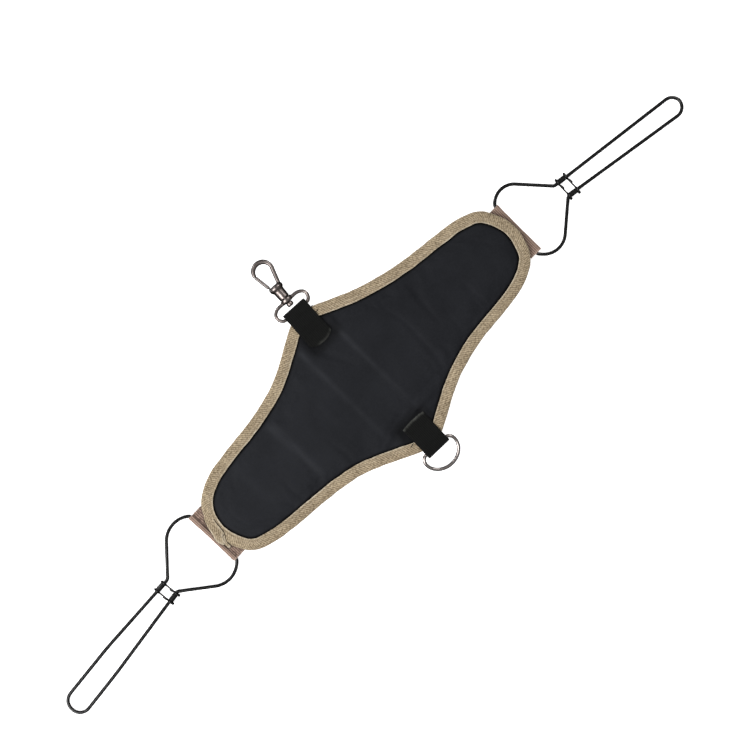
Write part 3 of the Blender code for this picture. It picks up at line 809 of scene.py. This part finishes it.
def patch_over_tape(name, corners, top, closeness):
    """A layer of tape on the binding: painted shade where its edge tucks in, a painted highlight on its
    raised edge, wrapped down where it passes the rim.
    """
    foot = 3.6
    outline = even(smooth_curve(corners, 8), 220)
    middle = sum((p for p in outline), Vector((0, 0))) / len(outline)
    rings, wear_and_highlight, painted_shade = [], [0.0] * len(outline), [1.0] * len(outline)
    for share, out_mm, height, highlight_share, dark in LAP_RINGS:
        ring = []
        for spot in inset(outline, [-out_mm] * len(outline)):
            place = spot.lerp(middle, share)
            past_rim = smoothstep(0.4, 1.4, -inside_depth(place)) * (1 - share)
            merged = smoothstep(9.0, 15.0, place.y)
            z = top + height * (1 if height > 0 else closeness) + wobble(place, 1 / 4, 0.16, 3.0)
            if out_mm > 0:
                z = z - 2.6 * past_rim * out_mm
            ring.append((place.x, place.y, z - 0.9 * past_rim - 1.15 * merged))
            # Painted highlight on the raised edge; painted shade on the foot and on the edge that tucks in.
            wear_and_highlight.append(highlight_share * (0.7 + wobble(place, 1 / 3, 0.7, 5.0)) * (1 - merged))
            painted_shade.append(dark * (1 - past_rim) * (1 - smoothstep(9.0, 13.5, place.y)))
        rings.append(ring)
    points, faces, _ = loft([[(x, y, foot) for x, y, _ in rings[0]], *rings])
    cloth = [tuple((400 + points[k][1], points[k][0]) for k in face) for face in faces]
    values = {"wear_and_highlight": wear_and_highlight, "painted_shade": painted_shade}
    piece(name, points, faces, "binding_tape", "pad", cloth=cloth, values=values, angle=60)


def lap():
    """The loose end of the tape, cut at a slant and sewn down over the folded other end."""
    patch_over_tape("tape_lap", LAP_FLAP, 5.95, 1.0)
    patch_over_tape("tape_lap_fold", LAP_FOLD, 5.55, 0.7)


# ---------------------------------------------------------------- sleeves, wires and keepers

def strip_section(path, thickness):
    """Closed outline of a strip of even thickness along a path of 2D points."""
    left, right = [], []
    for index, point in enumerate(path):
        along = (path[min(index + 1, len(path) - 1)] - path[max(index - 1, 0)]).normalized()
        side = Vector((-along.y, along.x)) * thickness / 2
        left.append(point + side)
        right.append(point - side)
    return left + right[::-1]


def sleeve_path(sewn, wire, fold, side):
    """Centre line of the sleeve's webbing in X-Z, as in part.py but smooth."""
    radius = SLEEVE_FOLD_R
    upper = WIRE_Z + radius
    lower_tail = upper - 1.2
    centre = Vector((fold - side * (radius + 0.5), WIRE_Z))
    under = side * min(side * wire, side * centre.x - 0.6)
    dip = [
        Vector((sewn, lower_tail)), Vector((wire - side * 6.5, lower_tail)),
        Vector((wire - side * 4.5, lower_tail - 1.6)), Vector((under, WIRE_Z - radius)),
    ]
    arc = [centre + radius * p for p in spokes(-90 if side > 0 else 270, side * 180, 16)]
    groove = 0.4 if side < 0 else 0.0
    top = [
        Vector((x, upper - groove * bell(x - SEAM_LEFT_X, 0.7)))
        for x in np.linspace(centre.x - side * 0.5, sewn, 30)
    ]
    return dip + arc + top


def sleeve(side_name, shape, side):
    rows = 80
    rings, wear_and_highlight, painted_shade = [], [], []
    first, last = shape["ends"]
    for row in range(rows + 1):
        t = row / rows
        fold, wire, sewn = (a + (b - a) * t for a, b in (shape["fold"], shape["wire"], shape["sewn"]))
        y = first + (last - first) * t
        edge = min(t, 1 - t) * rows
        thin = 0.94 * (0.72 + 0.28 * min(edge / 1.2, 1.0))
        fold += 0.25 * math.sin(math.pi * t) * -side + wobble((y, 0), 0.12, 0.25, 2.0 + side)
        ragged = 0.55 if edge < 1 else 0.0
        rings.append([
            (p.x + wobble((y, p.x), 0.3, 0.08, 1.0), y + wobble((p.x, p.y), 0.5, ragged, 4.0), p.y)
            for p in strip_section(sleeve_path(sewn, wire, fold, side), thin)
        ])
        for x, y, z in rings[-1]:
            # Painted shade where the sleeve meets the pad's rim; on the left also along the seam, and mottled
            # between the seam and the rim.
            dark = 0.85 * bell(max(-inside_depth(Vector((x, y))), 0.0), 0.9)
            if side < 0 and z > WIRE_Z:
                dark = max(dark, bell(x - SEAM_LEFT_X, 0.85) * (0.8 + wobble((y, 0), 0.25, 0.5, 4.0)))
                if x > SEAM_LEFT_X:
                    dark = max(dark, 0.20 + wobble((x, y), 0.42, 1.0, 2.0))
            painted_shade.append(min(dark, 1.0))
            # Paler along the fold's outer edge and at the cut ends.
            wear_and_highlight.append(0.15 * bell(abs(x) - abs(fold), 0.8) + 0.4 * (edge < 1))
    spans = [abs(last - first) * k / rows for k in range(rows + 2)]
    points, faces, cloth = loft(rings, False, spans, lengths_round(rings[rows // 2]))
    cloth = [tuple((v, u) for u, v in corners) for corners in cloth]
    piece(f"sleeve_{side_name}_webbing", points, faces, "sleeve_webbing", "pad", [f"sleeve_{side_name}"],
          cloth=cloth, values={"wear_and_highlight": wear_and_highlight, "painted_shade": painted_shade}, angle=50)
    if side < 0:
        z = WIRE_Z + SLEEVE_FOLD_R + 0.22
        seam = [Vector((SEAM_LEFT_X, y, z)) for y in np.linspace(first - 1.5, last + 1.5, 30)]
        piece("sleeve_left_seam", *stitch_row(seam, UP, 2.6, 2.0, 0.45), "sleeve_webbing", "pad",
              finish=BROWN_THREAD)


def bent_route(corners, first, last, step_deg=4):
    """Points of a wire bent at each corner (x, y, radius)."""
    route = [first]
    places = [first, *(Vector(c[:2]) for c in corners), last]
    for index, corner in enumerate(corners, start=1):
        before, here, after = places[index - 1:index + 2]
        arrive, leave = (here - before).normalized(), (after - here).normalized()
        turn = arrive.angle_signed(leave)
        radius = corner[2]
        begin = here - arrive * radius * math.tan(abs(turn) / 2)
        side = Vector((arrive.y, -arrive.x)) * math.copysign(1, turn)
        centre = begin + side * radius
        steps = max(2, math.ceil(abs(math.degrees(turn)) / step_deg))
        while (begin - route[-1]).length > 4.0:
            route.append(route[-1] + (begin - route[-1]).normalized() * 3.0)
        for k in range(steps + 1):
            spoke = -side * radius
            spoke.rotate(Matrix.Rotation(-turn * k / steps, 2))
            route.append(centre + spoke)
    while (last - route[-1]).length > 4.0:
        route.append(route[-1] + (last - route[-1]).normalized() * 3.0)
    return route + [last]


def wire_loop(side_name, bends, shape):
    top, bottom = (Vector(p) for p in zip(shape["wire"], shape["ends"]))
    middle = (top + bottom) / 2
    along = (top - bottom).normalized()
    route = bent_route(bends, middle + along * WIRE_END_GAP / 2, middle - along * WIRE_END_GAP / 2)
    line = [Vector((p.x, p.y, WIRE_Z)) for p in route]
    radii = [WIRE_R + wobble(p, 1 / 5, 0.05, 2.0) for p in line]
    radii[0] = radii[-1] = 0.8 * WIRE_R
    piece(f"spring_wire_{side_name}", *tube(line, radii, 22), "coated_wire", f"loop_{side_name}",
          [f"loop_wire_{side_name}"])


def eyelet(outward, knot):
    """Wire round a leg, drawn out and thicker on its outer side, where its twist is pinched."""
    route, radii = [], []
    for p in spokes(0, 360, 28)[:-1]:
        pinch = knot * max(outward * p.x, 0) ** 2
        radius = KEEPER_BORE_R + KEEPER_WIRE_R
        route.append(Vector((0, (1 + pinch) * radius * p.x, radius * p.y)))
        radii.append(KEEPER_DRAWN_R * (1 + 3.0 * pinch))
    return tube(route, radii, 14, closed=True)


def keeper(side_name, shape):
    """Two wire cross bars with an eyelet round each leg, their tails twisted back, and two spacers."""
    body = f"keeper_{side_name}"
    spread = shape["spread"]
    place = place_at(*shape["centre"], WIRE_Z, shape["heading"])
    half_gap = shape["gap"] / 2 + KEEPER_PLAY
    skew = shape["skew"] / 2
    half = KEEPER_BAR_SPACING / 2 - KEEPER_WIRE_R - 0.3
    mouth = KEEPER_BORE_R + 0.08
    profile = ((half, mouth), (half - 0.12, SPACER_R), (0, SPACER_R + 0.04), (-half + 0.12, SPACER_R),
               (-half, mouth), (-half, KEEPER_BORE_R), (half, KEEPER_BORE_R))
    rings = [[(x, r * p.x, r * p.y) for x, r in profile] for p in spokes(0, 360, 36)[:-1]]
    for which, sign in (("left_leg", 1), ("right_leg", -1)):
        leg = place_at(-sign * skew, sign * half_gap, 0, sign * spread)
        points, faces = moved(place @ leg, loft(rings, True)[:2])
        stands_for = [f"{body}_spacer_{which}"]
        piece(f"{body}_tube_{which}", points, faces, "coated_wire", body, stands_for, angle=30)
    for which, sign in (("inner", -1), ("outer", 1)):
        x = sign * KEEPER_BAR_SPACING / 2
        leg_y = half_gap + x * math.tan(math.radians(spread))
        near = place_at(x - skew, leg_y, 0, spread)
        far = place_at(x + skew, -leg_y, 0, -spread)
        reach = leg_y - KEEPER_BORE_R - KEEPER_WIRE_R
        top, foot = Vector((x - skew, reach, 0)), Vector((x + skew, -reach, 0))
        beside = Vector((1.0, 0, 0.12))
        link = [top.lerp(foot, k / 8) for k in range(9)]
        tail = [top.lerp(foot, 0.03 + 0.47 * k / 8) + beside * min(1.0, 0.4 + 0.2 * k) for k in range(9)]
        parts = [
            moved(near, eyelet(1, shape["knots"][0])), moved(far, eyelet(-1, shape["knots"][1])),
            tube(link, [KEEPER_DRAWN_R] * 9, 12), tube(tail, [0.8] * 8 + [0.5], 12),
        ]
        fused(f"{body}_wire_{which}", place, parts, 0.16, 3, "coated_wire", body, [f"{body}_bar_{which}"])


# ---------------------------------------------------------------- tabs

def tab_path(inner_end):
    """Centre line of a tab in (outward, Z) from the ring's bar, as in part.py but smooth."""
    half = TAB_WEBBING / 2
    over, on_face, under = TAB_OVER_EDGE_Z + half, TAB_ON_FACE_Z + half, TAB_BEHIND_Z - half
    centre = Vector((1.5, 1.0))
    arc = [centre + (RING_R + 0.35 + half) * p for p in spokes(80, -160, 16)]
    top = [
        (-inner_end, on_face), (-inner_end + 1.2, on_face + 0.12), (-inner_end + 3, on_face), (-27, on_face),
        (-23.5, on_face), (-21.5, on_face + 0.35), (-19.5, over), (-12, over + 0.05), (-5.5, over),
        (-3.2, over - 0.1), (-1.0, over - 0.8),
    ]
    bottom = [(-1.0, under + 0.55), (-3.4, under), (-7.0, under), (-12.2, under)]
    return [Vector(p) for p in top] + arc + [Vector(p) for p in bottom]


def tab(name, node_name, place, inner_end, shift=0.0, bulge=1.0, glint=0.3, glint_side=0):
    """A folded strap whose inner end bulges by this many mm.

    glint says how strong a painted highlight lies along that end, and glint_side on which side of it, 0 for
    all along.
    """
    columns = 40
    rings, across, wear_and_highlight = [], [], []
    for column in range(columns + 1):
        u = TAB_HALF_WIDTH * (2 * column / columns - 1)
        edge = min(column, columns - column)
        thin = TAB_WEBBING * (0.62, 0.86, 0.97, 1.0)[min(edge, 3)] + wobble((column, 0), 0.9, 0.03, 2.0)
        end = inner_end - bulge * (abs(u) / TAB_HALF_WIDTH) ** 3 + wobble((u, 0), 0.5, 0.35, 1.0)
        ring = []
        for p in strip_section(tab_path(end), thin):
            fray = wobble((p.x, p.y), 0.9, 0.35, 6.0 + column) if edge == 0 else 0.0
            rib = 0.03 * math.sin(2 * math.pi * u / 1.7) if edge > 1 else 0.0
            ring.append((u + shift + fray, p.x, p.y - TAB_FRAME_Z + rib))
            # Painted highlight along the raised inner end.
            at_end = bell(p.x + end - 0.5, 0.7) if p.y > 2 else 0.0
            pale = smoothstep(-9.0, 0.0, u * glint_side) * (0.65 + wobble((u, 0), 0.4, 0.5, 8.0))
            wear_and_highlight.append(glint * at_end * pale)
        rings.append(ring)
        across.append(u)
    points, faces, cloth = loft(rings, False, across + [13.0], lengths_round(rings[columns // 2]))
    piece(name, *moved(place, (points, faces)), "tab_webbing", "pad", [node_name], cloth=cloth,
          values={"wear_and_highlight": wear_and_highlight}, angle=50)
    proud = TAB_WEBBING + 0.05
    on_face, over, behind = TAB_ON_FACE_Z + proud, TAB_OVER_EDGE_Z + proud, TAB_BEHIND_Z - proud
    low, high = 2.2 - inner_end, -23.5
    left, right = shift - 10.2, shift + 10.2
    # From x, y to x, y at this height, on this side, in thread this thick.
    seams = (
        (left, low, right, low, on_face, UP, 0.36), (right, low, right, high, on_face, UP, 0.36),
        (right, high, left, high, on_face, UP, 0.36), (left, high, left, low, on_face, UP, 0.36),
        (left, -17.5, right, -17.5, over, UP, 0.42), (left, -6.0, right, -6.0, over, UP, 0.42),
        (left, -9.5, right, -9.5, behind, -UP, 0.42),
    )
    rows = []
    for x, y, to_x, to_y, height, up, width in seams:
        z = height - TAB_FRAME_Z
        rows.append(stitch_row([Vector((x, y, z)), Vector((to_x, to_y, z))], up, 2.4, 1.9, width))
    piece(name + "_stitching", *moved(place, joined(*rows)), "tab_webbing", "pad", finish=BLACK_THREAD)


def loose_threads():
    """Cut ends of black sewing thread beside the tabs."""
    ends = (
        ((-10.8, -72.6, 5.5), (-12.6, -72.9, 5.7), (-14.2, -73.3, 5.4), (-15.6, -73.2, 5.3)),
        ((13.2, 83.6, 5.4), (14.6, 82.8, 5.6), (15.6, 83.0, 5.2), (16.3, 82.6, 4.6)),
        ((13.2, 76.9, 5.4), (14.8, 76.4, 5.7), (16.2, 76.8, 5.5), (17.2, 76.5, 5.3)),
        ((13.6, -80.0, 5.4), (14.8, -80.4, 5.6), (16.0, -80.2, 5.3), (16.6, -80.8, 5.2)),
    )
    parts = []
    for end in ends:
        route = smooth_curve([Vector(p) for p in end], 5, closed=False)
        parts.append(tube(route, [0.34] * (len(route) - 2) + [0.26, 0.12], 8))
    piece("loose_threads", *joined(*parts), "tab_webbing", "pad", finish=BLACK_THREAD)


# ---------------------------------------------------------------- snap hook and D-ring

BOSS = ((4.6, 11.0), (5.4, 11.3), (6.0, 12.4), (6.1, 13.5), (6.0, 14.6), (5.4, 15.5), (4.9, 15.6))
BARREL = (
    (4.6, 15.9), (4.95, 16.1), (5.1, 17.0), (5.15, 19.0), (5.3, 22.5), (5.4, 24.6), (5.7, 25.4), (6.3, 26.0),
    (6.55, 26.2), (6.6, 26.7), (7.1, 27.1), (7.2, 27.8), (7.2, 28.8), (6.9, 29.7), (6.2, 30.4), (5.0, 31.1),
    (3.6, 31.2),
)
RIVET = (
    (1.5, 6.5), (2.3, 6.65), (3.0, 7.2), (3.25, 7.9), (3.25, 9.2), (3.1, 10.2), (2.7, 10.7), (1.6, 10.75),
    (1.6, 20.0),
)
RIVET_BORE_R, GATE_PIN_BORE_R = 1.9, 1.1
ARC_CENTRE, ARC_R = Vector((1.1, 47.4)), 9.2
STEM_FOOT = Vector((4.4, 28.5))
HOOK_BAR_R = (1.9, 2.0, 2.1, 2.3, 2.35, 2.3, 2.1, 1.8)
GATE_PIVOT = Vector((-4.6, 29.5, 0))
GATE_REACH = Vector((-3.15, 17.9, 0))


def turned(profile, sides=44):
    """A solid turned about the Y axis from (radius, y) pairs."""
    around = spokes(180 / sides, 360, sides)[:-1]
    return loft([[(r * p.x, y, r * p.y) for p in around] for r, y in profile])[:2]


def block(low, high):
    """A box between two opposite corners."""
    corners = ((low[0], low[1]), (high[0], low[1]), (high[0], high[1]), (low[0], high[1]))
    return loft([[(x, y, z) for x, y in corners] for z in (low[2], high[2])])[:2]


def drill(start, end, radius, sides=32):
    return tube([Vector(start), Vector(end)], [radius] * 2, sides)


def oval(centre, reach_x, reach_y, start_deg, steps, sweep_deg=90):
    """Part of an ellipse, end point left out."""
    return [
        Vector((centre[0] + reach_x * p.x, centre[1] + reach_y * p.y, 0))
        for p in spokes(start_deg, sweep_deg, steps)[:-1]
    ]


def eye_ring():
    waist, depth = 6.4, 12.9
    route = (
        oval((9, waist), 9, depth - waist, 90, 14, -90) + oval((13, waist), 5, waist, 0, 14, -90)
        + [Vector((13 - 2 * k, 0, 0)) for k in range(13)]
        + oval((-13, waist), 5, waist, -90, 14, -90) + oval((-9, waist), 9, depth - waist, 180, 14, -90)
        + [Vector((-9 + 2 * k, depth, 0)) for k in range(9)]
    )
    bar = tube(route, [RING_R] * len(route), 24, closed=True)
    fused("eye_ring_forging", HOOK_PLACE, [bar, turned(BOSS)], 0.26, 4, "gunmetal", "eye", ["eye_ring"],
          [drill((0, 9, 0), (0, 18, 0), RIVET_BORE_R)])


def hook():
    arc = [ARC_CENTRE + ARC_R * p for p in spokes(-8, 180, 40)]
    stem = [STEM_FOOT.lerp(arc[0], t) for t in (0, 0.15, 0.3, 0.45, 0.6, 0.75, 0.9)]
    route = [Vector((*p, 0)) for p in (*stem, *arc)]
    spots = np.linspace(0, len(HOOK_BAR_R) - 1, len(route))
    radii = np.interp(spots, range(len(HOOK_BAR_R)), HOOK_BAR_R).tolist()
    radii[-1] *= 0.95
    fused("hook_casting", HOOK_PLACE, [turned(BARREL), tube(route, radii, 28)], 0.28, 4, "gunmetal", "hook",
          ["hook_body"], [
              block((-9, 26.9, -2.0), (-1.9, 33, 2.0)), drill((0, 14, 0), (0, 20.4, 0), RIVET_BORE_R),
              drill(GATE_PIVOT - 9 * UP, GATE_PIVOT + 9 * UP, GATE_PIN_BORE_R, 28),
          ])
    slots = [block((-0.35, 5.9, -2.2), (0.35, 6.95, 2.2)), block((-2.2, 5.9, -0.35), (2.2, 6.95, 0.35))]
    fused("swivel_rivet_head", HOOK_PLACE, [turned(RIVET, 36)], 0.16, 2, "gunmetal", "hook",
          ["swivel_rivet"], slots)
    pin = tube([GATE_PIVOT + UP * z for z in (-4.2, -4.05, 4.05, 4.2)], [0.6, 0.8, 0.8, 0.6], 24)
    piece("gate_rivet", *moved(HOOK_PLACE, pin), "gunmetal", "hook", ["gate_pin"])
    coil = [
        GATE_PIVOT + Vector((1.42 * p.x, 1.42 * p.y, 0.79 + 0.36 * k / 28))
        for k, p in enumerate(spokes(0, 720, 56))
    ]
    spring = tube(coil, [0.17] * len(coil), 10)
    piece("gate_coil", *moved(HOOK_PLACE, spring), "bright_steel", "hook", ["gate_spring"])


def gate():
    along = GATE_REACH.normalized()
    spots = (2.7, 3.2, 6, 10, 14, 17.2, 18.3, GATE_REACH.length + 1.1)
    radii = (1.25, 1.6, 1.65, 1.65, 1.65, 1.65, 1.6, 1.45)
    arm = tube([GATE_PIVOT + along * s for s in spots], radii, 28)
    base = tube([GATE_PIVOT + UP * z for z in (-1.5, -1.35, 0.15, 0.3)], [2.05, 2.2, 2.2, 2.05], 36)
    neck = tube([GATE_PIVOT + along * s - 0.6 * UP for s in (1.2, 3.6)], [0.85] * 2, 20)
    fused("gate_bar", HOOK_PLACE, [arm, base, neck], 0.15, 3, "bright_steel", "gate", ["gate"],
          [drill(GATE_PIVOT - 3 * UP, GATE_PIVOT + 3 * UP, GATE_PIN_BORE_R, 28)])


def d_ring():
    half, corner, reach, depth = 12, 7, 18, 22.7
    route = (
        oval((half, corner), reach - half, corner, -90, 14)
        + oval((0, corner), reach, depth - corner, 0, 60, 180)
        + oval((-half, corner), reach - half, corner, 180, 14)
        + [Vector((-half + 2 * k, 0, 0)) for k in range(half)]
    )
    ring = tube(route, [RING_R] * len(route), 28, closed=True)
    piece("d_ring_wire", *moved(DRING_PLACE @ DRING_DROOP, ring), "gunmetal", "d_ring", ["d_ring"],
          finish=POLISHED_GUNMETAL)


pad()
binding()
lap()
sleeve("right", SLEEVE_RIGHT, 1)
sleeve("left", SLEEVE_LEFT, -1)
wire_loop("right", LOOP_RIGHT, SLEEVE_RIGHT)
wire_loop("left", LOOP_LEFT, SLEEVE_LEFT)
keeper("right", KEEPER_RIGHT)
keeper("left", KEEPER_LEFT)
tab("hook_tab_strap", "hook_tab", HOOK_PLACE, inner_end=38.0, bulge=4.0, glint_side=1)
tab("dring_tab_strap", "dring_tab", DRING_PLACE, inner_end=32.5, shift=-0.9, glint=0.55)
loose_threads()
eye_ring()
hook()
gate()
d_ring()


# ---------------------------------------------------------------- floor, light and camera

def backdrop():
    made, tree, shader = start("paper", 0.9, specular=0.1)
    grain = noise_map(tree, object_map(tree), 40, 2, 0.5)
    tree.links.new(ramp(tree, grain, (0.3, 0.90), (0.7, 0.92)), shader.inputs["Base Color"])
    shader.inputs["Emission Color"].default_value = (1, 1, 1, 1)
    shader.inputs["Emission Strength"].default_value = 0.75
    mesh = bpy.data.meshes.new("floor")
    z = CAD_BOX[0].z - 0.2 * MM
    reach = 30.0
    corners = [(-reach, -reach, z), (reach, -reach, z), (reach, reach, z), (-reach, reach, z)]
    mesh.from_pydata(corners, [], [(0, 1, 2, 3)])
    mesh.materials.append(made)
    floor = placed("floor", mesh)
    floor.visible_glossy = False


def softbox(name, place, target, size, watts):
    data = bpy.data.lights.new(name, "AREA")
    data.shape = "SQUARE"
    data.size = size
    data.energy = watts
    lamp = placed(name, data)
    lamp.location = place
    lamp.rotation_euler = (Vector(target) - Vector(place)).to_track_quat("-Z", "Y").to_euler()


def studio():
    scene = bpy.context.scene
    scene.view_settings.view_transform = "Standard"
    world = bpy.data.worlds.new("studio")
    world.use_nodes = True
    tree = world.node_tree
    towards = node(tree, "ShaderNodeTexCoord").outputs["Generated"]
    rise = node(tree, "ShaderNodeSeparateXYZ", {0: towards}).outputs["Z"]
    # Dark below the horizon, so that polished bars get a dark outline, and pale above it.
    height = maths(tree, "MULTIPLY_ADD", rise, 0.5, 0.5)
    sky = ramp(tree, height, (0.0, 0.02), (0.45, 0.02), (0.49, 0.25), (1.0, 0.52))
    tree.links.new(sky, tree.nodes["Background"].inputs["Color"])
    scene.world = world
    softbox("key", (-1.45, 0.15, 1.76), (0, 0, 0), 1.5, 56)
    softbox("fill", (1.6, 0.4, 1.4), (0, 0, 0), 0.8, 13)
    softbox("side", (-0.4, 1.4, 0.75), (-0.3, 0, 0), 0.35, 5)

    data = bpy.data.cameras.new("camera")
    data.type = "PERSP"
    data.lens = 100
    data.sensor_width = 36
    data.clip_end = 20
    camera = placed("camera", data)
    camera.location = (0.0099, -0.0033, 1.927)
    camera.rotation_euler = (0, 0, math.radians(-46))
    scene.camera = camera


backdrop()
studio()
